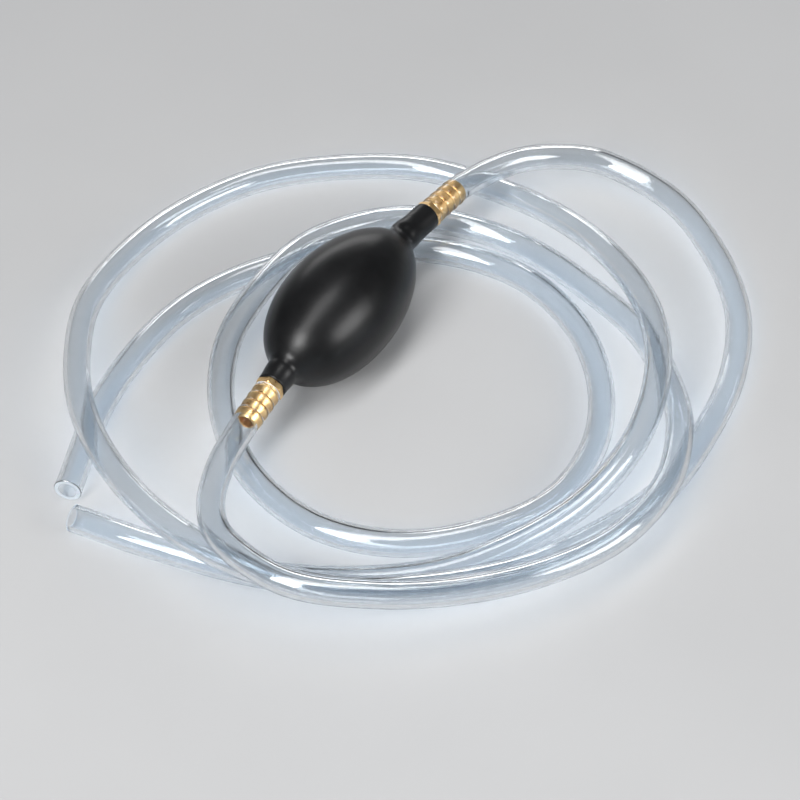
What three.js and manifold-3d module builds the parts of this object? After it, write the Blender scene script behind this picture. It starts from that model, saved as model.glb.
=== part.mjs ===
// Siphon bulb pump: a rubber squeeze bulb, a brass check-valve fitting in each neck, and two clear
// hoses lying in a loose coil on the floor. Millimetres, +Z up, floor at z = 0.
// +X runs along the bulb from the inlet neck to the outlet neck; the origin is on the floor midway
// between the two fitting tips. Liquid flows from the inlet hose to the outlet hose.
import * as THREE from "three";
import { mergeVertices } from "three/addons/utils/BufferGeometryUtils.js";
import Module from "manifold-3d";

const wasm = await Module();
wasm.setup();

// ---------- driving dimensions (mm, degrees) ----------
const GAP = 0.3; // clearance between neighbouring pieces
const BULB = {
  axisZ: 21.75, // height of the bulb's axis over the floor
  middleX: -2.9, // where the two halves of the egg meet
  inletHalf: 40.5, // length of the blunt half
  outletHalf: 37.1, // and of the slimmer one
  radius: 21.8, // before the egg's taper
  taper: 0.11, // how much fuller the inlet end is than the outlet end
  wall: 3,
};
const NECK = {
  radius: 5.5,
  knuckle: 6, // radius of the bulge where the neck leaves the egg
  bore: 3.9,
  bend: 5,
  droop: 2,
  overlap: 4, // how far its root reaches into the egg
  boreRelief: 1.5, // how far the bore goes past the end of the fitting
};
// Each neck: where it starts to bend, how long it is from there, and where its root fillet lies.
const OUTLET_NECK = { side: 1, bendX: 38, length: 13.9, filletFrom: 30.2, filletTo: 36.5 };
const INLET_NECK = { side: -1, bendX: -45, length: 7, filletFrom: -40.5, filletTo: -44.5 };
const PRESS_WALL = { middleX: -5, halfLength: 24, halfWidth: 14 };
// Distances along a fitting count from the end of its neck, positive out into the hose.
const FITTING = {
  collarRadius: 5.5, // to the corners of the hexagonal collar between neck and hose
  collarEnd: 2.3,
  rootRadius: 3.5,
  crestRadius: 3.9,
  firstBarb: 3.7,
  barbPitch: 3.8,
  barbCount: 4,
  barbShoulder: 0.35, // length of the steep face towards the neck
  barbLand: 0.7, // length of the flat on top of a barb
  tip: 19,
  chamfer: 0.4,
  boreRadius: 2.7,
  throatRadius: 1.6,
  nippleRadius: 3.6, // the plain end pushed into the neck
  nippleEnd: -12.9,
  chamberRadius: 2.9,
};
const VALVE = { ballRadius: 2.2, wireRadius: 0.22, coilRadius: 1.85, coilTurns: 4.5 };
const INLET_VALVE = {
  chamberTop: -3,
  seatDepth: 1.3, // the ball seals on a cone in the brass
  ball: -4.86,
  springFrom: -10.95,
  springTo: -7.45,
};
const OUTLET_VALVE = {
  chamberTop: -3.6,
  seatDepth: 0.05,
  ball: -10.04,
  springFrom: -7.45,
  springTo: -3.95,
};
const RING = { from: -12.6, to: -11.3, radius: 2.6, retainerBore: 1.2, seatBore: 1.3, seatMouth: 2.2 };
const HOSE = {
  radius: 5,
  bore: 3.5,
  sides: 10,
  cuffRadius: 5.35, // where it is stretched over the barbs
  cuffBore: 4.2,
  cuffFrom: 2.6,
  cuffTo: 20.8,
  cuffTaper: 2.5, // length over which the cuff narrows to the free hose
  stepLength: 28,
};

// Centreline of each hose from the end of its cuff to its open end: a loose coil, one strand
// riding over another wherever they cross.
const OUTLET_ROUTE = [
  [87, -7, 19], [102, -13.5, 16.7], [114, -24, 14], [122, -37.5, 11.5], [122, -68, 7.5],
  [106.5, -96, 5.5], [83.5, -118, 5.2], [54.5, -131, 5.2], [23.5, -136, 5.2], [-8, -136, 5.2],
  [-38.5, -127, 6.5], [-67, -113, 9], [-91.5, -92, 11.5], [-110.5, -67, 13.5], [-120, -37, 15],
  [-120, -5, 16], [-111, 25, 16.5], [-94, 52, 16], [-70, 73, 12.5], [-42.5, 88, 8.5],
  [-11, 92, 6], [20, 87, 5.2], [48.5, 73, 5.2], [71, 50, 5.2], [87, 23, 5.2],
  [92, -8, 6], [88.5, -40, 9], [76, -69, 13.5], [57, -94, 17], [31, -112, 18],
  [0.5, -120, 14.5], [-30.5, -117, 10.5], [-60, -104, 7.5], [-84.5, -85, 5.5], [-111, -45, 5.2],
  [-123.5, 1, 5.2], [-128.5, 32, 5.2],
];
const INLET_ROUTE = [
  [-91.5, -6.5, 22], [-111.5, -16, 24.6], [-121.5, -27.5, 26], [-125.5, -56, 26], [-113, -83, 24],
  [-94, -106, 21.5], [-71, -125, 20], [-44, -138, 19], [-14, -140, 17.5], [14, -130.5, 14.2],
  [36, -115, 8], [55, -92, 5.6], [65.5, -63, 5.2], [71, -33, 5.2], [66.5, -6, 7],
  [57.5, 7.5, 10.5], [44, 18, 14.5], [19, 31, 16.5], [-10.5, 33.5, 15.5], [-39, 28.5, 13],
  [-64, 12.5, 9], [-80.5, -12, 6], [-86, -42, 5.2], [-77.5, -70, 5.2], [-57.5, -92, 5.2],
  [-30.5, -106, 5.2], [-1, -105, 5.2], [25.5, -92, 5.2], [46, -70, 5.2], [56.5, -42, 5.2],
  [54, -13, 5.2], [41, 13.5, 5.2], [21, 34.5, 5.2], [-4, 51, 5.2], [-32.5, 59, 5.2],
  [-76.5, 56, 5.2], [-119.5, 41, 5.2],
];

// ---------- materials ----------
const rubber = new THREE.MeshStandardMaterial({ color: 0x16171a, roughness: 0.45, metalness: 0 });
const brass = new THREE.MeshStandardMaterial({ color: 0xc9994a, roughness: 0.25, metalness: 1 });
const steel = new THREE.MeshStandardMaterial({ color: 0xb8bcc2, roughness: 0.2, metalness: 1 });
const clearHose = new THREE.MeshStandardMaterial({
  color: 0xd4dde6,
  roughness: 0.08,
  metalness: 0,
  transparent: true,
  opacity: 0.35,
});

// ---------- solids ----------
function solid(geometry) {
  const bare = geometry.clone();
  bare.deleteAttribute("normal");
  bare.deleteAttribute("uv");
  const merged = mergeVertices(bare, 1e-4);
  const triVerts = new Uint32Array(merged.index.array);
  const vertProperties = merged.attributes.position.array;
  return new wasm.Manifold(new wasm.Mesh({ numProp: 3, vertProperties, triVerts }));
}

function named(name, body, material) {
  const mesh = body.getMesh();
  const geometry = new THREE.BufferGeometry();
  geometry.setAttribute("position", new THREE.BufferAttribute(mesh.vertProperties, 3));
  geometry.setIndex(new THREE.BufferAttribute(mesh.triVerts, 1));
  geometry.computeVertexNormals();
  const made = new THREE.Mesh(geometry, material);
  made.name = name;
  return made;
}

// A solid of revolution about the local X axis. profile: [x, radius] pairs with x rising on the outside.
function turned(profile, segments, matrix = new THREE.Matrix4()) {
  const points = profile.map(([x, radius]) => new THREE.Vector2(radius, x));
  const geometry = new THREE.LatheGeometry(points, segments);
  geometry.rotateZ(-Math.PI / 2);
  return solid(geometry.applyMatrix4(matrix));
}

function rod(from, to, radius, segments, matrix) {
  return turned([[from, 0], [from, radius], [to, radius], [to, 0]], segments, matrix);
}

// The frame of one fitting: x runs out along its axis from the end of its neck.
function fittingFrame({ side, bendX, length }) {
  const bend = THREE.MathUtils.degToRad(NECK.bend);
  const droop = THREE.MathUtils.degToRad(NECK.droop);
  const out = new THREE.Vector3(
    side * Math.cos(bend) * Math.cos(droop),
    -Math.sin(bend) * Math.cos(droop),
    -Math.sin(droop),
  );
  const across = new THREE.Vector3(0, 0, 1).cross(out).normalize();
  const up = out.clone().cross(across);
  const origin = new THREE.Vector3(bendX, 0, BULB.axisZ).addScaledVector(out, length);
  return new THREE.Matrix4().makeBasis(out, across, up).setPosition(origin);
}

const onBulbAxis = new THREE.Matrix4().makeTranslation(0, 0, BULB.axisZ);
const outletFrame = fittingFrame(OUTLET_NECK);
const inletFrame = fittingFrame(INLET_NECK);

// ---------- bulb ----------
function eggRadius(x, inset) {
  const half = x < BULB.middleX ? BULB.inletHalf : BULB.outletHalf;
  const s = (x - BULB.middleX) / (half - inset);
  return (BULB.radius - inset) * Math.sqrt(Math.max(0, 1 - s * s)) * (1 - BULB.taper * s);
}

function egg(inset, rows, segments) {
  const profile = [];
  for (let row = 0; row <= rows; row++) {
    const along = -Math.cos((Math.PI * row) / rows);
    const half = along < 0 ? BULB.inletHalf : BULB.outletHalf;
    const x = BULB.middleX + (half - inset) * along;
    profile.push([x, row === 0 || row === rows ? 0 : eggRadius(x, inset)]);
  }
  return turned(profile, segments, onBulbAxis);
}

// A neck: a filleted root along the bulb's axis, then a straight sleeve turned towards its fitting.
function neck(shape, frame) {
  const { side, bendX, length, filletFrom, filletTo } = shape;
  const rootRadius = eggRadius(filletFrom, 0) - 0.1;
  const corner = (filletFrom + filletTo) / 2;
  const fillet = new THREE.QuadraticBezierCurve(
    new THREE.Vector2(filletFrom, rootRadius),
    new THREE.Vector2(corner, NECK.radius),
    new THREE.Vector2(filletTo, NECK.radius),
  );
  const inside = filletFrom - side * NECK.overlap;
  const profile = [[inside, 0], [inside, rootRadius]];
  fillet.getPoints(5).forEach((p) => profile.push([p.x, p.y]));
  profile.push([bendX, NECK.radius], [bendX, 0]);
  const root = turned(side > 0 ? profile : profile.reverse(), 20, onBulbAxis);
  const knuckle = solid(
    new THREE.SphereGeometry(NECK.knuckle, 20, 10).translate(bendX, 0, BULB.axisZ),
  );
  const sleeve = rod(-length, 0, NECK.radius, 20, frame);
  return root.add(knuckle).add(sleeve);
}

function neckBore({ side, bendX, filletFrom }, frame) {
  const inner = filletFrom - side * NECK.overlap;
  const along = rod(Math.min(inner, bendX), Math.max(inner, bendX), NECK.bore, 18, onBulbAxis);
  return along.add(rod(FITTING.nippleEnd - NECK.boreRelief, 1, NECK.bore, 18, frame));
}

// An upright elliptical column over the top of the bulb, which divides the press wall from the shell.
function pressColumn(grow) {
  const column = new THREE.CylinderGeometry(1, 1, BULB.radius * 2, 40);
  column.rotateX(Math.PI / 2);
  column.scale(PRESS_WALL.halfLength + grow, PRESS_WALL.halfWidth + grow, 1);
  column.translate(PRESS_WALL.middleX, 0, BULB.axisZ + BULB.radius);
  return solid(column);
}

function makeBulb() {
  const belowFloor = solid(new THREE.BoxGeometry(200, 200, 20).translate(0, 0, -10));
  const rubberWall = egg(0, 20, 36)
    .add(neck(OUTLET_NECK, outletFrame))
    .add(neck(INLET_NECK, inletFrame))
    .subtract(egg(BULB.wall, 14, 28))
    .subtract(neckBore(OUTLET_NECK, outletFrame))
    .subtract(neckBore(INLET_NECK, inletFrame))
    .subtract(belowFloor);
  return {
    shell: rubberWall.subtract(pressColumn(GAP)),
    pressWall: rubberWall.intersect(pressColumn(0)),
  };
}

// ---------- brass fittings and their check valves ----------
function barbProfile() {
  const { rootRadius, crestRadius, barbShoulder, barbLand, tip, chamfer } = FITTING;
  const points = [];
  for (let i = 0; i < FITTING.barbCount; i++) {
    const crest = FITTING.firstBarb + i * FITTING.barbPitch;
    points.push([crest - barbShoulder, rootRadius], [crest, crestRadius], [crest + barbLand, crestRadius]);
  }
  points.push([tip - chamfer, rootRadius], [tip, rootRadius - chamfer]);
  return points;
}

function makeFitting(frame, { chamberTop, seatDepth }) {
  const { nippleEnd, nippleRadius, chamfer, collarEnd, rootRadius, tip } = FITTING;
  const outside = [
    [nippleEnd, 0],
    [nippleEnd, nippleRadius - chamfer],
    [nippleEnd + chamfer, nippleRadius],
    [collarEnd, nippleRadius],
    [collarEnd, rootRadius],
    ...barbProfile(),
    [tip, 0],
  ];
  const passage = [
    [nippleEnd - 1, 0],
    [nippleEnd - 1, FITTING.chamberRadius],
    [chamberTop - seatDepth, FITTING.chamberRadius],
    [chamberTop, FITTING.throatRadius],
    [collarEnd, FITTING.throatRadius],
    [collarEnd + 1, FITTING.boreRadius],
    [tip + 1, FITTING.boreRadius],
    [tip + 1, 0],
  ];
  return turned(outside, 22, frame)
    .add(rod(GAP, collarEnd, FITTING.collarRadius, 6, frame))
    .subtract(turned(passage, 18, frame));
}

function makeBall(frame, x) {
  const ball = new THREE.SphereGeometry(VALVE.ballRadius, 14, 10).translate(x, 0, 0);
  return solid(ball.applyMatrix4(frame));
}

class Coil extends THREE.Curve {
  constructor(from, to) {
    super();
    this.from = from + VALVE.wireRadius;
    this.to = to - VALVE.wireRadius;
  }
  getPoint(t, target = new THREE.Vector3()) {
    const angle = t * VALVE.coilTurns * 2 * Math.PI;
    const x = THREE.MathUtils.lerp(this.from, this.to, t);
    return target.set(x, VALVE.coilRadius * Math.cos(angle), VALVE.coilRadius * Math.sin(angle));
  }
}

function makeSpring(frame, from, to) {
  const geometry = new THREE.ExtrudeGeometry(disc(VALVE.wireRadius, 6), {
    steps: Math.round(VALVE.coilTurns * 10),
    extrudePath: new Coil(from, to),
  });
  return solid(geometry.applyMatrix4(frame));
}

// The two rings are closed loops: out over the face, along the outside and back down the bore.
function makeRetainer(frame) {
  const { from, to, radius, retainerBore: bore } = RING;
  return turned([[from, bore], [from, radius], [to, radius], [to, bore], [from, bore]], 18, frame);
}

function makeSeat(frame) {
  const { from, to, radius, seatBore: bore, seatMouth: mouth } = RING;
  const cone = to - (mouth - bore);
  const section = [[from, bore], [from, radius], [to, radius], [to, mouth], [cone, bore], [from, bore]];
  return turned(section, 18, frame);
}

// ---------- hoses ----------
function disc(radius, sides) {
  const shape = new THREE.Shape();
  for (let i = 0; i < sides; i++) {
    const angle = (2 * Math.PI * i) / sides;
    const x = radius * Math.cos(angle);
    const y = radius * Math.sin(angle);
    if (i === 0) shape.moveTo(x, y);
    else shape.lineTo(x, y);
  }
  return shape;
}

function swept(points, radius) {
  const path = new THREE.CatmullRomCurve3(points);
  return solid(
    new THREE.ExtrudeGeometry(disc(radius, HOSE.sides), {
      steps: Math.round(path.getLength() / HOSE.stepLength),
      extrudePath: path,
    }),
  );
}

// A hose: a cuff stretched over the barbs, then the free hose, bored from end to end.
function makeHose(frame, route) {
  const cuffEnd = new THREE.Vector3(HOSE.cuffTo, 0, 0).applyMatrix4(frame);
  const points = [cuffEnd, ...route.map(([x, y, z]) => new THREE.Vector3(x, y, z))];
  const open = points.at(-1);
  const outward = open.clone().sub(points.at(-2)).normalize();
  const openFrame = new THREE.Matrix4()
    .lookAt(outward, new THREE.Vector3(), new THREE.Vector3(0, 0, 1))
    .multiply(new THREE.Matrix4().makeRotationY(-Math.PI / 2))
    .setPosition(open);
  const cuff = turned(
    [
      [HOSE.cuffFrom, 0],
      [HOSE.cuffFrom, HOSE.cuffRadius],
      [HOSE.cuffTo - HOSE.cuffTaper, HOSE.cuffRadius],
      [HOSE.cuffTo, HOSE.radius],
      [HOSE.cuffTo, 0],
    ],
    24,
    frame,
  );
  return swept(points, HOSE.radius)
    .add(cuff)
    .subtract(swept(points, HOSE.bore))
    .subtract(rod(HOSE.cuffFrom - 1, FITTING.tip + GAP, HOSE.cuffBore, 20, frame))
    .subtract(rod(FITTING.tip, HOSE.cuffTo + 2, HOSE.bore - GAP, 20, frame))
    .subtract(rod(-0.5, 0.5, HOSE.bore - 0.3, 10, openFrame));
}

// ---------- assembly ----------
const part = new THREE.Group();
part.name = "siphon_bulb_pump";
const { shell, pressWall } = makeBulb();
part.add(
  named("bulb_shell", shell, rubber),
  named("bulb_press_wall", pressWall, rubber),
  named("inlet_fitting", makeFitting(inletFrame, INLET_VALVE), brass),
  named("outlet_fitting", makeFitting(outletFrame, OUTLET_VALVE), brass),
  named("inlet_valve_ball", makeBall(inletFrame, INLET_VALVE.ball), steel),
  named("outlet_valve_ball", makeBall(outletFrame, OUTLET_VALVE.ball), steel),
  named(
    "inlet_valve_spring",
    makeSpring(inletFrame, INLET_VALVE.springFrom, INLET_VALVE.springTo),
    steel,
  ),
  named(
    "outlet_valve_spring",
    makeSpring(outletFrame, OUTLET_VALVE.springFrom, OUTLET_VALVE.springTo),
    steel,
  ),
  named("inlet_valve_retainer", makeRetainer(inletFrame), brass),
  named("outlet_valve_seat", makeSeat(outletFrame), brass),
  named("inlet_hose", makeHose(inletFrame, INLET_ROUTE), clearHose),
  named("outlet_hose", makeHose(outletFrame, OUTLET_ROUTE), clearHose),
);

export default part;
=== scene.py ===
"""Looks of the siphon bulb pump, in metres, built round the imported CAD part.

The hoses come first, then the rubber bulb, the brass fittings and the check valves in them,
then the floor and the lights. +X runs along the bulb from the inlet neck to the outlet neck.
"""

import math

import bpy
from mathutils import Matrix, Vector


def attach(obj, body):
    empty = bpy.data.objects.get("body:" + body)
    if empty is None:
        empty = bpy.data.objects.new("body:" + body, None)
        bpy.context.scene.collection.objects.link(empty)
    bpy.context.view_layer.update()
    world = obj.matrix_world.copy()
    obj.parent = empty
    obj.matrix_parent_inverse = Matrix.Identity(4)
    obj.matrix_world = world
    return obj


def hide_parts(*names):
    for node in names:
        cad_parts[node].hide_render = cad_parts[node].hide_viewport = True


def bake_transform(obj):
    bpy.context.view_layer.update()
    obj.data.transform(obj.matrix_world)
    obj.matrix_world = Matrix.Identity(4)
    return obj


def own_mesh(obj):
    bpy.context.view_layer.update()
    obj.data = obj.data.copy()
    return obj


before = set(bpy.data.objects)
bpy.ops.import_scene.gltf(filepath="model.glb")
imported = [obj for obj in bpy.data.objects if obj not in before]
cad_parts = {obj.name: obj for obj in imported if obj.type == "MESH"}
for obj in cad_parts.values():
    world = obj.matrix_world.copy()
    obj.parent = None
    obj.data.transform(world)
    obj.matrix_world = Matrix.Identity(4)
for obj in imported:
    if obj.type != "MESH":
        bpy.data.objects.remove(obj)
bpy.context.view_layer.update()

MM = 0.001

# ---------- driving dimensions, in millimetres and degrees ----------
AXIS_Z = 21.75
BULB = {
    "middle": -2.9,  # where its two half eggs of different lengths meet
    "inlet_half": 40.5,
    "outlet_half": 37.1,
    "radius": 21.8,
    "taper": 0.11,
    "wall": 3.0,
    "lowest": 0.05,  # the rubber stands on a small flat at this height
    "still_below": 27.2,  # a squeeze moves the skin above this height, most at the top
    "pressed_above": 45,
}
NECK = {
    "radius": 5.5,
    "bore": 3.85,
    "rim": 0.35,  # chamfer round the end
    "knuckle": 6.0,  # radius of the bulge where the neck bends
    "knuckle_width": 3.2,
    "bend": 5,
    "droop": 2,
    "bend_reach": 3,  # the turn is spread this far to each side of the bend
}
OUTLET_NECK = {"side": 1, "bend_x": 38, "length": 13.9, "fillet": (30.2, 36.5)}
INLET_NECK = {"side": -1, "bend_x": -45, "length": 7, "fillet": (-40.5, -44.5)}

# Distances along a fitting are from the end of its neck, out along the fitting's own axis.
BARB = {"first": 3.7, "pitch": 3.8, "count": 4, "crest": 3.9, "root": 3.5, "shoulder": 0.3, "land": 0.7}
COLLAR = {"start": 0.05, "end": 2.3, "corners": 5.5, "chamfer": 0.35}  # a hexagon past the neck
NIPPLE = {"radius": 3.6, "end": -12.9, "chamfer": 0.4}  # the plain part inside the neck
TIP = {"end": 19, "flat": 0.5, "chamfer": 0.35}
PASSAGE = {"bore": 2.7, "bore_end": 3.3, "throat": 1.6, "throat_start": 2.3, "chamber": 2.9}
BRASS_EDGE = 0.12
INLET_VALVE = {"chamber_top": -3, "seat_depth": 1.3, "ball": -4.86, "spring": (-10.95, -6.25)}
OUTLET_VALVE = {"chamber_top": -3.6, "seat_depth": 0.15, "ball": -10.04, "spring": (-8.65, -3.95)}
BALL = {"radius": 2.2, "travel": 1.5}
SPRING = {"wire": 0.22, "radius": 1.85, "turns": 5.5, "closed_turns": 0.8, "even_rise": 0.12}
RING = {"front": -11.3, "back": -12.6, "radius": 2.6}  # a ring in the mouth of each chamber
RETAINER = {"hole": 1.2, "edge": 0.15}
SEAT = {"hole": 1.3, "mouth": 2.2, "cone_end": -12.2, "edge": 0.1}

HOSE = {
    "radius": 5.0,
    "bore": 3.5,
    "start": 2.45,
    "cuff_end": 20.8,
    "grip": 0.04,  # it presses this far into the brass, so no air shows between them
    "root_gap": 0.06,  # it spans the roots of the barbs with this much room
    "recovers": 5,  # past the tip, it is back to its own bore after this length
    "edge": 0.2,
}
CUFF_STEP = 0.35
ROUTE_STEP = 1.8
PVC_IOR = 1.53

# Centrelines of the two hoses past their cuffs, the same as the CAD part's.
OUTLET_ROUTE = [
    (87, -7, 19), (102, -13.5, 16.7), (114, -24, 14), (122, -37.5, 11.5), (122, -68, 7.5),
    (106.5, -96, 5.5), (83.5, -118, 5.2), (54.5, -131, 5.2), (23.5, -136, 5.2), (-8, -136, 5.2),
    (-38.5, -127, 6.5), (-67, -113, 9), (-91.5, -92, 11.5), (-110.5, -67, 13.5), (-120, -37, 15),
    (-120, -5, 16), (-111, 25, 16.5), (-94, 52, 16), (-70, 73, 12.5), (-42.5, 88, 8.5),
    (-11, 92, 6), (20, 87, 5.2), (48.5, 73, 5.2), (71, 50, 5.2), (87, 23, 5.2),
    (92, -8, 6), (88.5, -40, 9), (76, -69, 13.5), (57, -94, 17), (31, -112, 18),
    (0.5, -120, 14.5), (-30.5, -117, 10.5), (-60, -104, 7.5), (-84.5, -85, 5.5), (-111, -45, 5.2),
    (-123.5, 1, 5.2), (-128.5, 32, 5.2),
]
INLET_ROUTE = [
    (-91.5, -6.5, 22), (-111.5, -16, 24.6), (-121.5, -27.5, 26), (-125.5, -56, 26), (-113, -83, 24),
    (-94, -106, 21.5), (-71, -125, 20), (-44, -138, 19), (-14, -140, 17.5), (14, -130.5, 14.2),
    (36, -115, 8), (55, -92, 5.6), (65.5, -63, 5.2), (71, -33, 5.2), (66.5, -6, 7),
    (57.5, 7.5, 10.5), (44, 18, 14.5), (19, 31, 16.5), (-10.5, 33.5, 15.5), (-39, 28.5, 13),
    (-64, 12.5, 9), (-80.5, -12, 6), (-86, -42, 5.2), (-77.5, -70, 5.2), (-57.5, -92, 5.2),
    (-30.5, -106, 5.2), (-1, -105, 5.2), (25.5, -92, 5.2), (46, -70, 5.2), (56.5, -42, 5.2),
    (54, -13, 5.2), (41, 13.5, 5.2), (21, 34.5, 5.2), (-4, 51, 5.2), (-32.5, 59, 5.2),
    (-76.5, 56, 5.2), (-119.5, 41, 5.2),
]


# ---------- camera ----------
def make_camera(place, target, lens):
    """A camera at place, in metres, that looks at target with its top edge level."""
    data = bpy.data.cameras.new("camera")
    data.lens = lens
    data.sensor_width = 36
    camera = bpy.data.objects.new("camera", data)
    camera.location = place
    camera.rotation_mode = "QUATERNION"
    camera.rotation_quaternion = (Vector(target) - Vector(place)).to_track_quat("-Z", "Y")
    bpy.context.scene.collection.objects.link(camera)
    bpy.context.scene.camera = camera


make_camera(place=(-0.5939, -0.3988, 0.7594), target=(-0.0166, -0.0324, 0), lens=126)


# ---------- shapes ----------
def fitting_frame(neck):
    """The place of one fitting: x runs out along its axis from the end of its neck, in mm."""
    bend = math.radians(NECK["bend"])
    droop = math.radians(NECK["droop"])
    out_x = neck["side"] * math.cos(bend) * math.cos(droop)
    out_y = -math.sin(bend) * math.cos(droop)
    out = Vector((out_x, out_y, -math.sin(droop)))
    across = Vector((0, 0, 1)).cross(out).normalized()
    up = out.cross(across)
    origin = Vector((neck["bend_x"], 0, AXIS_Z)) + neck["length"] * out
    return Matrix.Translation(origin) @ Matrix((out, across, up)).transposed().to_4x4()


OUTLET_FRAME = fitting_frame(OUTLET_NECK)
INLET_FRAME = fitting_frame(INLET_NECK)


def link(name, vertices, faces, sharp_degrees=40):
    """A new smooth-shaded mesh piece from points in millimetres."""
    mesh = bpy.data.meshes.new(name)
    mesh.from_pydata([Vector(v) * MM for v in vertices], [], faces)
    mesh.polygons.foreach_set("use_smooth", [True] * len(mesh.polygons))
    mesh.set_sharp_from_angle(angle=math.radians(sharp_degrees))
    mesh.update()
    piece = bpy.data.objects.new(name, mesh)
    bpy.context.scene.collection.objects.link(piece)
    return piece


def skin(rings, closed):
    """Points and faces of a skin over rings of equal point counts; closed joins last to first."""
    sides = len(rings[0])
    vertices = [p for ring in rings for p in ring]
    faces = []
    for i in range(len(rings) if closed else len(rings) - 1):
        j = (i + 1) % len(rings)
        for k in range(sides):
            m = (k + 1) % sides
            faces.append((i * sides + k, i * sides + m, j * sides + m, j * sides + k))
    return vertices, faces


def circle(place, radius, sides, flats=None):
    """A ring of points round the local x axis of place, cut by six flats at that distance."""
    half_flat = math.pi / 6
    points = []
    for k in range(sides):
        angle = 2 * math.pi * k / sides
        r = radius
        if flats:
            from_flat = (angle + half_flat) % (2 * half_flat) - half_flat
            r = min(radius, flats / math.cos(from_flat))
        points.append(place @ Vector((0, r * math.cos(angle), r * math.sin(angle))))
    return points


def turned(name, profile, place, sides, flats=None):
    """A bored body of revolution; profile is a closed loop of (x, radius) that runs back along
    the bore and out over the outside. What stands out past flats is milled to a hexagon."""
    rings = [circle(place @ Matrix.Translation((x, 0, 0)), r, sides, flats) for x, r in profile]
    piece = link(name, *skin(rings, closed=True))
    wrap_map(piece, len(rings), sides)
    return piece


def rounded(loop, size):
    """The closed loop with each corner cut to a small round of about that size."""
    widest = 0.45  # of a side, so the rounds at its two ends stay apart
    made = []
    for i, corner in enumerate(loop):
        here = Vector(corner)
        before, after = Vector(loop[i - 1]), Vector(loop[(i + 1) % len(loop)])
        reach_in = min(size, (before - here).length * widest)
        reach_out = min(size, (after - here).length * widest)
        start = here + (before - here).normalized() * reach_in
        end = here + (after - here).normalized() * reach_out
        for t in (0, 0.33, 0.67, 1):
            point = start * (1 - t) ** 2 + here * 2 * t * (1 - t) + end * t * t
            made.append((point.x, point.y))
    return made


def smooth(low, high, x):
    """0 below low, 1 above high, and a smooth step between them."""
    t = min(max((x - low) / (high - low), 0), 1)
    return t * t * (3 - 2 * t)


# ---------- hoses ----------
def curve_through(points, step):
    """A centripetal curve through the points, with a point about every step along it."""
    ends = [2 * points[0] - points[1], *points, 2 * points[-1] - points[-2]]
    made = []
    for p0, p1, p2, p3 in zip(ends, ends[1:], ends[2:], ends[3:]):
        d0 = math.sqrt((p1 - p0).length)
        d1 = math.sqrt((p2 - p1).length)
        d2 = math.sqrt((p3 - p2).length)
        m1 = ((p1 - p0) / d0 - (p2 - p0) / (d0 + d1) + (p2 - p1) / d1) * d1
        m2 = ((p2 - p1) / d1 - (p3 - p1) / (d1 + d2) + (p3 - p2) / d2) * d1
        count = max(2, round((p2 - p1).length / step))
        for k in range(count):
            t = k / count
            made.append(
                p1 * (2 * t**3 - 3 * t**2 + 1)
                + m1 * (t**3 - 2 * t**2 + t)
                + p2 * (3 * t**2 - 2 * t**3)
                + m2 * (t**3 - t**2)
            )
    made.append(points[-1])
    return made


def bore_over_barbs(x):
    """Radius of a hose's bore at x along its fitting: it grips each barb and spans the roots."""
    last_crest = BARB["first"] + (BARB["count"] - 1) * BARB["pitch"]
    past_crest = (x - BARB["first"]) % BARB["pitch"] if x < last_crest else x - last_crest
    cone = BARB["pitch"] - BARB["land"] - BARB["shoulder"]
    slope = (BARB["crest"] - BARB["root"]) / cone
    brass = BARB["crest"] - max(0, past_crest - BARB["land"]) * slope
    over_brass = max(brass - HOSE["grip"], BARB["root"] + HOSE["root_gap"])
    free = smooth(TIP["end"] - TIP["flat"], TIP["end"] + HOSE["recovers"], x)
    return HOSE["bore"] + (over_brass - HOSE["bore"]) * (1 - free)


def outside_of(bore):
    """The hose's outer radius over that bore: its wall keeps its cross-section when stretched."""
    return math.sqrt(bore**2 + HOSE["radius"] ** 2 - HOSE["bore"] ** 2)


def hose_line(place, route):
    """Centreline points with the distance of each from the neck: the cuff, then the free hose."""
    cuff_length = HOSE["cuff_end"] - HOSE["start"]
    steps = round(cuff_length / CUFF_STEP)
    along = [HOSE["start"] + i * cuff_length / steps for i in range(steps)]
    cuff = [place @ Vector((x, 0, 0)) for x in along]
    cuff_end = place @ Vector((HOSE["cuff_end"], 0, 0))
    free = curve_through([cuff_end, *[Vector(p) for p in route]], ROUTE_STEP)
    distance = HOSE["cuff_end"]
    line = list(zip(cuff, along))
    for i, point in enumerate(free):
        if i:
            distance += (point - free[i - 1]).length
        line.append((point, distance))
    return line


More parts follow.
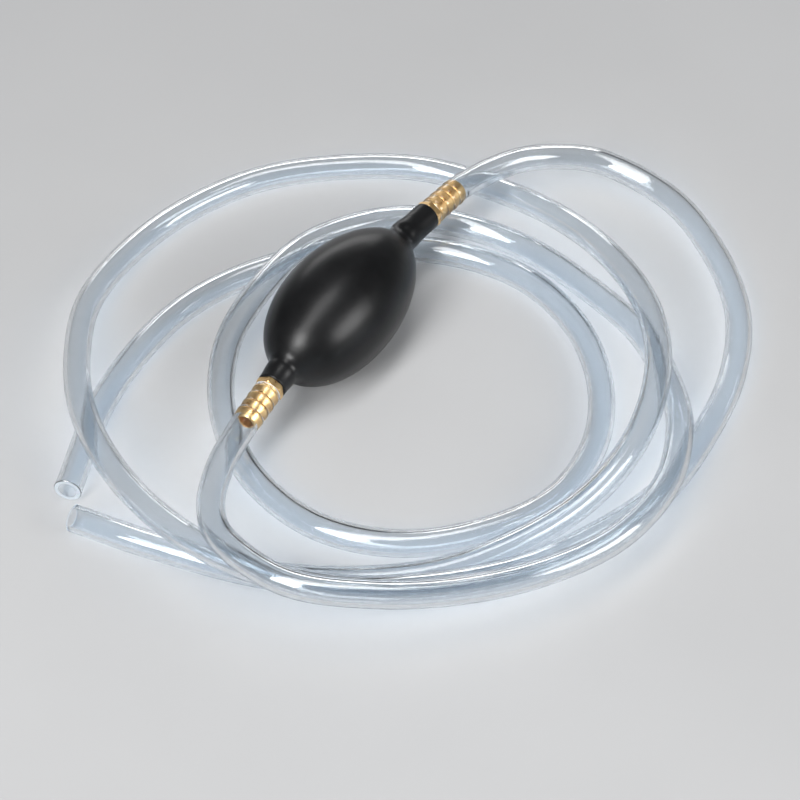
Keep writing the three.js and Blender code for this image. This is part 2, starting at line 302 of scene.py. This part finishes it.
def make_hose(name, place, route, sides=36):
    """A clear hose with its real wall: out along the outside to the open end, back along the bore."""
    line = hose_line(place, route)
    centres = [p for p, _ in line]
    up = place.to_3x3() @ Vector((0, 0, 1))
    outer, inner = [], []
    for i, (centre, x) in enumerate(line):
        forward = (centres[min(i + 1, len(line) - 1)] - centres[max(i - 1, 0)]).normalized()
        up = (up - forward * up.dot(forward)).normalized()
        side = up.cross(forward)
        here = Matrix.Translation(centre) @ Matrix((forward, side, up)).transposed().to_4x4()
        bore = bore_over_barbs(x)
        outer.append((here, outside_of(bore)))
        inner.append((here, bore))
    edge = HOSE["edge"]
    first, first_radius = outer[0]
    last, last_radius = outer[-1]
    rings = [
        circle(first, first_radius - edge, sides),
        circle(first @ Matrix.Translation((edge, 0, 0)), first_radius, sides),
        *[circle(here, radius, sides) for here, radius in outer[1:-1]],
        circle(last @ Matrix.Translation((-edge, 0, 0)), last_radius, sides),
        circle(last, last_radius - edge, sides),
        *[circle(here, radius, sides) for here, radius in reversed(inner)],
    ]
    hose = link(name, *skin(rings, closed=True), sharp_degrees=35)
    wrap_map(hose, len(rings), sides)
    neck_cut = len(rings) - 1
    open_cut = neck_cut - len(inner)
    for face in hose.data.polygons:
        if face.index // sides in (open_cut, neck_cut):
            face.material_index = 1  # the two sawn ends
    return hose, [p * MM for p in centres]


def wrap_map(piece, rows, sides):
    """A map of the skin: u once round the section, v along the rings."""
    layer = piece.data.uv_layers.new(name="wrap")
    for face in piece.data.polygons:
        row, column = divmod(face.index, sides)
        for corner, (du, dv) in zip(face.loop_indices, ((0, 0), (1, 0), (1, 1), (0, 1))):
            layer.data[corner].uv = ((column + du) / sides, (row + dv) / rows)


def add_hose(name, place, route, cad_node):
    """One hose, attached to the pump body and shown in place of its CAD node."""
    hose, line = make_hose(name, place, route)
    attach(hose, "pump")
    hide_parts(cad_node)
    return hose


outlet_hose = add_hose("clear_outlet_hose", OUTLET_FRAME, OUTLET_ROUTE, "outlet_hose")
inlet_hose = add_hose("clear_inlet_hose", INLET_FRAME, INLET_ROUTE, "inlet_hose")


# ---------- bulb ----------
def egg_radius(x, inset):
    """Radius at x of the bare egg, without its necks, that far inside the rubber's surface."""
    half = BULB["inlet_half"] if x < BULB["middle"] else BULB["outlet_half"]
    s = (x - BULB["middle"]) / (half - inset)
    return (BULB["radius"] - inset) * math.sqrt(max(0, 1 - s * s)) * (1 - BULB["taper"] * s)


def outer_radius(x):
    """Radius of the bulb at x: an egg, and a fillet, a knuckle and a plain sleeve at each neck."""
    for neck in (OUTLET_NECK, INLET_NECK):
        first, last = neck["fillet"]
        if (x - first) * neck["side"] > 0:
            t = min((x - first) / (last - first), 1)
            fillet = egg_radius(first, 0) * (1 - t) ** 2 + NECK["radius"] * (2 * t - t * t)
            bulge = NECK["knuckle"] - NECK["radius"]
            from_bend = (x - neck["bend_x"]) / NECK["knuckle_width"]
            return fillet + bulge * math.exp(-(from_bend**2))
    return egg_radius(x, 0)


def bulb_stations(step):
    """Distances along the bent middle line, from the inlet neck's end to the outlet neck's end."""
    low = INLET_NECK["bend_x"] - INLET_NECK["length"]
    high = OUTLET_NECK["bend_x"] + OUTLET_NECK["length"]
    count = round((high - low) / step)
    return [low + (high - low) * i / count for i in range(count + 1)]


def bulb_place(s):
    """The frame on the bulb's middle line at distance s: straight, then turned at each neck."""
    neck, place = (OUTLET_NECK, OUTLET_FRAME) if s > 0 else (INLET_NECK, INLET_FRAME)
    past = (s - neck["bend_x"]) * neck["side"]
    reach = NECK["bend_reach"]
    if past <= -reach:
        return Matrix.Translation((s, 0, AXIS_Z))
    turn = smooth(-reach, reach, past)
    out = (place.to_3x3() @ Vector((1, 0, 0))) * neck["side"]
    forward = Vector((1, 0, 0)).lerp(out, turn).normalized()
    across = Vector((0, 0, 1)).cross(forward).normalized()
    origin = Vector((neck["bend_x"], 0, AXIS_Z))
    centre = origin + past * neck["side"] * (out if past > 0 else Vector((1, 0, 0)))
    basis = Matrix((forward, across, forward.cross(across))).transposed().to_4x4()
    return Matrix.Translation(centre) @ basis


def make_bulb(step=0.6, sides=160):
    """The one rubber moulding: out along the outside to the outlet neck, back along the inside."""
    stations = bulb_stations(step)
    outer = [circle(bulb_place(s), outer_radius(s), sides) for s in stations]
    inner = []
    for s in stations:
        body = max(egg_radius(s, BULB["wall"]), NECK["bore"])
        inner.append(circle(bulb_place(s), body, sides))
    rim = NECK["rim"]
    first, last = bulb_place(stations[0]), bulb_place(stations[-1])
    start = circle(first, NECK["radius"] - rim, sides)
    end = circle(last, NECK["radius"] - rim, sides)
    outer[0] = circle(first @ Matrix.Translation((rim, 0, 0)), NECK["radius"], sides)
    outer[-1] = circle(last @ Matrix.Translation((-rim, 0, 0)), NECK["radius"], sides)
    rings = [start, *outer, end, *inner[::-1]]
    piece = link("rubber_bulb", *skin(rings, closed=True), sharp_degrees=60)
    wrap_map(piece, len(rings), sides)
    for vertex in piece.data.vertices:
        vertex.co.z = max(vertex.co.z, BULB["lowest"] * MM)
    return piece


bulb = make_bulb()
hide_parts("bulb_shell", "bulb_press_wall")


# ---------- brass fittings ----------
def barbs():
    """The outline of the spigot from the hexagon to the tip, each barb steep on the neck's side."""
    points = []
    for i in range(BARB["count"]):
        crest = BARB["first"] + i * BARB["pitch"]
        points += [
            (crest - BARB["shoulder"], BARB["root"]),
            (crest, BARB["crest"]),
            (crest + BARB["land"], BARB["crest"]),
        ]
    points += [
        (TIP["end"] - TIP["flat"], BARB["root"]),
        (TIP["end"], BARB["root"] - TIP["chamfer"]),
    ]
    return points


def collar():
    """The outline of the hexagon, as it is turned before its flats are milled."""
    start, end = COLLAR["start"], COLLAR["end"]
    corners, chamfer = COLLAR["corners"], COLLAR["chamfer"]
    return [
        (start, NIPPLE["radius"]),
        (start, corners - chamfer),
        (start + chamfer, corners),
        (end - chamfer, corners),
        (end, corners - chamfer),
        (end, BARB["root"]),
    ]


def make_fitting(name, place, valve):
    """One brass turning: valve chamber and plain nipple in the neck, hexagon, barbed spigot."""
    passage = [
        (TIP["end"], PASSAGE["bore"]),
        (PASSAGE["bore_end"], PASSAGE["bore"]),
        (PASSAGE["throat_start"], PASSAGE["throat"]),
        (valve["chamber_top"], PASSAGE["throat"]),
        (valve["chamber_top"] - valve["seat_depth"], PASSAGE["chamber"]),
        (NIPPLE["end"], PASSAGE["chamber"]),
    ]
    nipple = [
        (NIPPLE["end"], NIPPLE["radius"] - NIPPLE["chamfer"]),
        (NIPPLE["end"] + NIPPLE["chamfer"], NIPPLE["radius"]),
    ]
    profile = rounded(passage + nipple + collar() + barbs(), BRASS_EDGE)
    flats = COLLAR["corners"] * math.cos(math.pi / 6)
    return turned(name, profile, place, 96, flats)


outlet_fitting = make_fitting("brass_outlet_fitting", OUTLET_FRAME, OUTLET_VALVE)
inlet_fitting = make_fitting("brass_inlet_fitting", INLET_FRAME, INLET_VALVE)


# ---------- check valves ----------
def make_ball(name, place, x, rows=32, sides=64):
    """A polished ball with its middle at x, and a small turned flat at each pole."""
    radius = BALL["radius"]
    rings = []
    for i in range(1, rows):
        angle = math.pi * i / rows
        at = place @ Matrix.Translation((x - radius * math.cos(angle), 0, 0))
        rings.append(circle(at, radius * math.sin(angle), sides))
    vertices, faces = skin(rings, closed=False)
    faces.append(tuple(reversed(range(sides))))
    faces.append(tuple(range((rows - 2) * sides, (rows - 1) * sides)))
    return link(name, vertices, faces)


def make_spring(name, place, ends, steps_per_turn=40, sides=12):
    """A compression spring between its two ends, with closed end coils."""
    low, high = ends
    wire, radius, turns = SPRING["wire"], SPRING["radius"], SPRING["turns"]
    closed, even = SPRING["closed_turns"], SPRING["even_rise"]
    axis = Vector((1, 0, 0))
    count = round(turns * steps_per_turn)
    rings = []
    for i in range(count + 1):
        t = i / count
        rise = even * t + (1 - even) * smooth(closed, turns - closed, t * turns)
        x = low + wire + (high - low - 2 * wire) * rise
        angle = 2 * math.pi * turns * t
        centre = Vector((x, radius * math.cos(angle), radius * math.sin(angle)))
        forward = Vector((0, -math.sin(angle), math.cos(angle)))
        outward = axis.cross(forward)
        ring = []
        for k in range(sides):
            a = 2 * math.pi * k / sides
            ring.append(place @ (centre + wire * (math.cos(a) * outward + math.sin(a) * axis)))
        rings.append(ring)
    vertices, faces = skin(rings, closed=False)
    faces.append(tuple(reversed(range(sides))))
    faces.append(tuple(range(count * sides, (count + 1) * sides)))
    return link(name, vertices, faces)


def make_ring(name, place, hole, edge):
    """A brass ring in the mouth of a chamber; hole is the outline of its bore, front to back."""
    outside = [(RING["back"], RING["radius"]), (RING["front"], RING["radius"])]
    return turned(name, rounded(hole + outside, edge), place, 64)


inlet_ball = make_ball("steel_inlet_ball", INLET_FRAME, INLET_VALVE["ball"])
outlet_ball = make_ball("steel_outlet_ball", OUTLET_FRAME, OUTLET_VALVE["ball"])
inlet_spring = make_spring("steel_inlet_spring", INLET_FRAME, INLET_VALVE["spring"])
outlet_spring = make_spring("steel_outlet_spring", OUTLET_FRAME, OUTLET_VALVE["spring"])

plain_hole = [(RING["front"], RETAINER["hole"]), (RING["back"], RETAINER["hole"])]
inlet_retainer = make_ring("brass_inlet_retainer", INLET_FRAME, plain_hole, RETAINER["edge"])

seat_hole = [
    (RING["front"], SEAT["mouth"]),
    (SEAT["cone_end"], SEAT["hole"]),
    (RING["back"], SEAT["hole"]),
]
outlet_seat = make_ring("brass_outlet_seat", OUTLET_FRAME, seat_hole, SEAT["edge"])


# ---------- materials ----------
def new_material(name):
    """A material with its node tree and its shader."""
    material = bpy.data.materials.new(name)
    material.use_nodes = True
    return material, material.node_tree, material.node_tree.nodes["Principled BSDF"]


def node(tree, kind, **values):
    """A node of that kind, with the named inputs set or linked."""
    made = tree.nodes.new(kind)
    for name, value in values.items():
        socket = made.inputs[name.replace("_", " ")]
        if isinstance(value, bpy.types.NodeSocket):
            tree.links.new(value, socket)
        else:
            socket.default_value = value
    return made


def noise(tree, vector, scale, detail=3, roughness=0.55):
    """A noise pattern's value, read at vector."""
    made = node(tree, "ShaderNodeTexNoise", Scale=scale, Detail=detail, Roughness=roughness)
    tree.links.new(vector, made.inputs["Vector"])
    return made.outputs["Fac"]


def stretched(tree, source, scale):
    """The coordinates from source, scaled along each axis."""
    made = tree.nodes.new("ShaderNodeMapping")
    made.inputs["Scale"].default_value = scale
    tree.links.new(source, made.inputs["Vector"])
    return made.outputs["Vector"]


def ramp(tree, value, stops):
    """A colour for value, from stops of (place, colour)."""
    made = tree.nodes.new("ShaderNodeValToRGB")
    tree.links.new(value, made.inputs["Fac"])
    elements = made.color_ramp.elements
    while len(elements) < len(stops):
        elements.new(0.5)
    for element, (place, colour) in zip(elements, stops):
        element.position = place
        element.color = (*colour, 1)
    return made.outputs["Color"]


def between(tree, value, low, high):
    """value from 0 to 1 mapped to low to high."""
    made = tree.nodes.new("ShaderNodeMapRange")
    tree.links.new(value, made.inputs["Value"])
    made.inputs["To Min"].default_value = low
    made.inputs["To Max"].default_value = high
    return made.outputs["Result"]


def bump(tree, height, distance, strength, below=None):
    """A normal pressed in by height, that many metres deep, on top of the bump below it."""
    made = node(tree, "ShaderNodeBump", Height=height, Distance=distance, Strength=strength)
    if below:
        tree.links.new(below, made.inputs["Normal"])
    return made.outputs["Normal"]


def coordinates(tree, which):
    """The piece's own coordinates: Object in metres, or UV as wrap_map lays them."""
    return tree.nodes.new("ShaderNodeTexCoord").outputs[which]


def clear_hose_material():
    """Clear glossy PVC: drawing lines along it, faint waves and smudges, and a cool grey tint.
    Its shadow is that of a tinted sheet, since light gets through it."""
    material, tree, shader = new_material("clear_pvc")
    along = stretched(tree, coordinates(tree, "UV"), (60, 3, 1))
    place = coordinates(tree, "Object")
    smudge = noise(tree, place, 45)
    shader.inputs["Base Color"].default_value = (0.845, 0.87, 0.89, 1)
    shader.inputs["Transmission Weight"].default_value = 1
    shader.inputs["IOR"].default_value = PVC_IOR
    tree.links.new(between(tree, smudge, 0, 0.06), shader.inputs["Roughness"])
    waves = bump(tree, noise(tree, place, 60, 1), 0.0006, 0.12)
    lines = bump(tree, noise(tree, along, 1, 2), 0.0001, 0.25, waves)
    tree.links.new(lines, shader.inputs["Normal"])
    lets_light = node(tree, "ShaderNodeBsdfTransparent", Color=(0.83, 0.86, 0.89, 1))
    mix = tree.nodes.new("ShaderNodeMixShader")
    path = tree.nodes.new("ShaderNodeLightPath")
    tree.links.new(path.outputs["Is Shadow Ray"], mix.inputs[0])
    tree.links.new(shader.outputs[0], mix.inputs[1])
    tree.links.new(lets_light.outputs[0], mix.inputs[2])
    tree.links.new(mix.outputs[0], tree.nodes["Material Output"].inputs["Surface"])
    return material


def cut_hose_material():
    """The sawn end of the hose: frosted, with fine saw marks."""
    material, tree, shader = new_material("cut_pvc")
    place = coordinates(tree, "Object")
    marks = noise(tree, stretched(tree, place, (1, 1, 5)), 900, 3)
    colour = ramp(tree, marks, [(0.3, (0.60, 0.67, 0.74)), (0.7, (0.84, 0.89, 0.94))])
    tree.links.new(colour, shader.inputs["Base Color"])
    shader.inputs["Transmission Weight"].default_value = 0.35
    shader.inputs["IOR"].default_value = PVC_IOR
    tree.links.new(between(tree, marks, 0.4, 0.7), shader.inputs["Roughness"])
    tree.links.new(bump(tree, marks, 0.00005, 0.4), shader.inputs["Normal"])
    return material


def rubber_material():
    """Black moulded rubber: satin, finely grained, with a little grey bloom."""
    material, tree, shader = new_material("black_rubber")
    place = coordinates(tree, "Object")
    bloom = noise(tree, place, 38, 5, 0.6)
    grain = noise(tree, place, 2600, 2)
    clean, dusty = (0.0025, 0.0025, 0.0027), (0.009, 0.0092, 0.0098)
    colour = ramp(tree, bloom, [(0.35, clean), (0.75, dusty)])
    tree.links.new(colour, shader.inputs["Base Color"])
    tree.links.new(between(tree, bloom, 0.27, 0.38), shader.inputs["Roughness"])
    shader.inputs["Specular IOR Level"].default_value = 0.28
    soft = bump(tree, noise(tree, place, 130, 2), 0.0008, 0.12)
    tree.links.new(bump(tree, grain, 0.00008, 0.3, soft), shader.inputs["Normal"])
    return material


def brass_material():
    """Turned brass: tool rings, brown tarnish and painted shade in the corners, and a few duller
    patches.
    """
    material, tree, shader = new_material("turned_brass")
    wrap = coordinates(tree, "UV")
    place = coordinates(tree, "Object")
    tarnish = noise(tree, place, 420, 4)
    corners = tree.nodes.new("ShaderNodeNewGeometry").outputs["Pointiness"]
    clean = ramp(tree, tarnish, [(0.3, (0.74, 0.43, 0.17)), (0.62, (0.92, 0.65, 0.31))])
    # Darkens the concave corners: partly real tarnish, partly painted shade where the corners lie in
    # shadow.
    hollow_tarnish_and_shade = ramp(tree, corners, [(0.40, (0.30, 0.13, 0.04)), (0.50, (1, 1, 1))])
    colour = node(tree, "ShaderNodeMix")
    colour.data_type = "RGBA"
    colour.blend_type = "MULTIPLY"
    colour.inputs["Factor"].default_value = 0.75
    tree.links.new(clean, colour.inputs["A"])
    tree.links.new(hollow_tarnish_and_shade, colour.inputs["B"])
    tree.links.new(colour.outputs["Result"], shader.inputs["Base Color"])
    shader.inputs["Metallic"].default_value = 1
    tree.links.new(between(tree, tarnish, 0.20, 0.40), shader.inputs["Roughness"])
    rings = noise(tree, stretched(tree, wrap, (3, 420, 1)), 1, 2)
    tree.links.new(bump(tree, rings, 0.00004, 0.5), shader.inputs["Normal"])
    return material


def steel_material():
    """Polished stainless with fine scratches."""
    material, tree, shader = new_material("valve_steel")
    place = coordinates(tree, "Object")
    cloud = noise(tree, place, 600, 3)
    colour = ramp(tree, cloud, [(0.3, (0.5, 0.51, 0.53)), (0.7, (0.68, 0.69, 0.71))])
    tree.links.new(colour, shader.inputs["Base Color"])
    shader.inputs["Metallic"].default_value = 1
    tree.links.new(between(tree, cloud, 0.08, 0.24), shader.inputs["Roughness"])
    scratches = noise(tree, stretched(tree, place, (1, 1, 12)), 900, 2)
    tree.links.new(bump(tree, scratches, 0.00003, 0.3), shader.inputs["Normal"])
    return material


def paint(material, *pieces):
    """The material, added after those that the pieces have."""
    for piece in pieces:
        piece.data.materials.append(material)


paint(clear_hose_material(), outlet_hose, inlet_hose)
paint(cut_hose_material(), outlet_hose, inlet_hose)
paint(rubber_material(), bulb)
paint(brass_material(), outlet_fitting, inlet_fitting, inlet_retainer, outlet_seat)
paint(steel_material(), inlet_ball, outlet_ball, inlet_spring, outlet_spring)


# ---------- what each piece rides on ----------
def stands_for(piece, cad_node, body):
    """The piece rides on the body and is shown in place of the CAD node."""
    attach(piece, body)
    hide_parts(cad_node)


stands_for(outlet_fitting, "outlet_fitting", "pump")
stands_for(inlet_fitting, "inlet_fitting", "pump")
stands_for(inlet_retainer, "inlet_valve_retainer", "pump")
stands_for(outlet_seat, "outlet_valve_seat", "pump")
stands_for(inlet_spring, "inlet_valve_spring", "pump")
stands_for(outlet_spring, "outlet_valve_spring", "pump")
stands_for(inlet_ball, "inlet_valve_ball", "inlet_ball")
stands_for(outlet_ball, "outlet_valve_ball", "outlet_ball")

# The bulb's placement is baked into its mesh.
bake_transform(bulb)


def shorten(spring):
    """The spring gets a mesh of its own."""
    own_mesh(spring)


shorten(inlet_spring)
shorten(outlet_spring)


# ---------- floor and light ----------
def make_floor(half=6):
    """A plain pale floor at z = 0, that far each way, in metres."""
    corners = [(-half, -half, 0), (half, -half, 0), (half, half, 0), (-half, half, 0)]
    mesh = bpy.data.meshes.new("floor")
    mesh.from_pydata(corners, [], [(0, 1, 2, 3)])
    floor = bpy.data.objects.new("floor", mesh)
    bpy.context.scene.collection.objects.link(floor)
    material, tree, shader = new_material("pale_floor")
    cloud = noise(tree, coordinates(tree, "Object"), 6)
    colour = ramp(tree, cloud, [(0.3, (0.36, 0.36, 0.362)), (0.7, (0.38, 0.38, 0.382))])
    tree.links.new(colour, shader.inputs["Base Color"])
    shader.inputs["Roughness"].default_value = 0.7
    mesh.materials.append(material)


def softbox(name, azimuth, elevation, distance, size, power):
    """An area light in that direction from the bulb, turned to face it. Metres and watts."""
    width, height = size
    data = bpy.data.lights.new(name, "AREA")
    data.shape = "RECTANGLE"
    data.size = width
    data.size_y = height
    data.energy = power
    light = bpy.data.objects.new(name, data)
    a, e = math.radians(azimuth), math.radians(elevation)
    away = Vector((math.cos(a) * math.cos(e), math.sin(a) * math.cos(e), math.sin(e)))
    light.location = away * distance
    light.rotation_mode = "QUATERNION"
    light.rotation_quaternion = (-away).to_track_quat("-Z", "Y")
    light.visible_camera = False
    bpy.context.scene.collection.objects.link(light)


make_floor()
softbox("overhead", azimuth=175, elevation=80, distance=1.5, size=(0.4, 1.7), power=15)
softbox("left", azimuth=178, elevation=38, distance=1.5, size=(0.55, 0.6), power=20)
softbox("front", azimuth=-84, elevation=27, distance=1.4, size=(0.85, 0.6), power=14)
softbox("back", azimuth=38, elevation=12, distance=1.7, size=(1.4, 0.25), power=5)

world = bpy.data.worlds.new("studio")
world.use_nodes = True
background = world.node_tree.nodes["Background"]
background.inputs["Color"].default_value = (0.42, 0.44, 0.47, 1)
background.inputs["Strength"].default_value = 0.35
bpy.context.scene.world = world
bpy.context.scene.view_settings.view_transform = "Standard"

# Light passes many walls where hoses cross.
cycles = bpy.context.scene.cycles
cycles.max_bounces = 32
cycles.transmission_bounces = 32
cycles.transparent_max_bounces = 48
